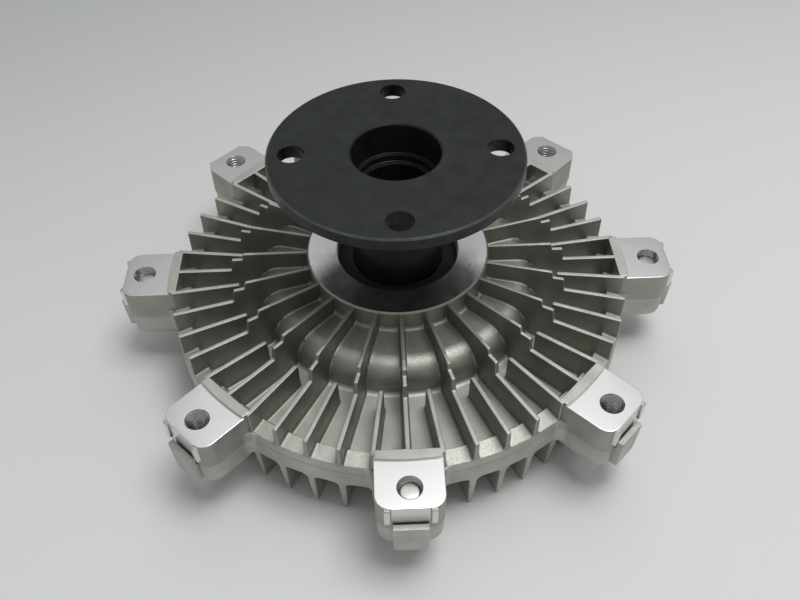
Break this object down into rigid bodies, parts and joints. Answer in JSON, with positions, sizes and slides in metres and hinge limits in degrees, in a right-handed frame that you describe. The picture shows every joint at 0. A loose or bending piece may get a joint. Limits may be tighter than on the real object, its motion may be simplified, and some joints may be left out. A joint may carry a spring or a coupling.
{
  "type": "viscous fan clutch",
  "caption": "Viscous fan clutch: finned aluminium casing with threaded fan lugs on a ball bearing, driven by a flanged steel hub with a rotor, and a coil-turned valve inside.",
  "frame": {"origin": "on the axis, in the plane of the cover's front fin tips, on which the part stands", "axes": "+Z along the axis, from the front cover to the drive flange; -Y through one fan lug"},
  "size_m": [0.2116, 0.2116, 0.092],
  "materials": {
    "black_steel": "satin black oxide on turned steel",
    "cast_aluminium": "blasted die casting with turned and milled faces",
    "turned_aluminium": "turned",
    "bearing_steel": "ground and polished",
    "cage_brass": "stamped",
    "seal_rubber": "moulded, matt",
    "spring_steel": "phosphated",
    "sheet_steel": "rolled sheet",
    "zinc_steel": "zinc plated",
    "bimetal_strip": "rolled strip"
  },
  "bodies": {
    "housing": {"rear_housing": "cast_aluminium", "front_cover": "cast_aluminium", "cover_seal_ring": "seal_rubber", "cover_screws": "zinc_steel", "bearing_outer_ring": "bearing_steel", "bearing_seal_rear": "seal_rubber", "bearing_seal_front": "seal_rubber", "bearing_retaining_ring": "spring_steel", "partition_plate": "sheet_steel", "partition_rivets": "bearing_steel", "pump_wiper": "cage_brass", "bimetal_coil": "bimetal_strip"},
    "hub": {"hub_shaft": "black_steel", "bearing_inner_ring": "bearing_steel", "rotor_disc": "turned_aluminium"},
    "cage": {"bearing_cage": "cage_brass", "bearing_balls": "bearing_steel"},
    "valve": {"valve_arm": "sheet_steel", "valve_shaft": "bearing_steel", "valve_shaft_seal": "seal_rubber", "valve_shaft_clip": "spring_steel"}
  },
  "joints": [
    {"name": "hub_spin", "type": "hinge", "parent": "housing", "child": "hub", "pos_m": [0, 0, 0.037], "axis": [0, 0, 1], "continuous": true},
    {"name": "cage_spin", "type": "hinge", "parent": "housing", "child": "cage", "pos_m": [0, 0, 0.037], "axis": [0, 0, 1], "continuous": true},
    {"name": "valve_turn", "type": "hinge", "parent": "housing", "child": "valve", "pos_m": [0, 0, 0.011], "axis": [0, 0, 1], "range_deg": [0, 30], "deforming": ["bimetal_coil"]}
  ],
  "couplings": [
    {"joint": "cage_spin", "follows": "hub_spin", "ratio": 0.3969}
  ]
}
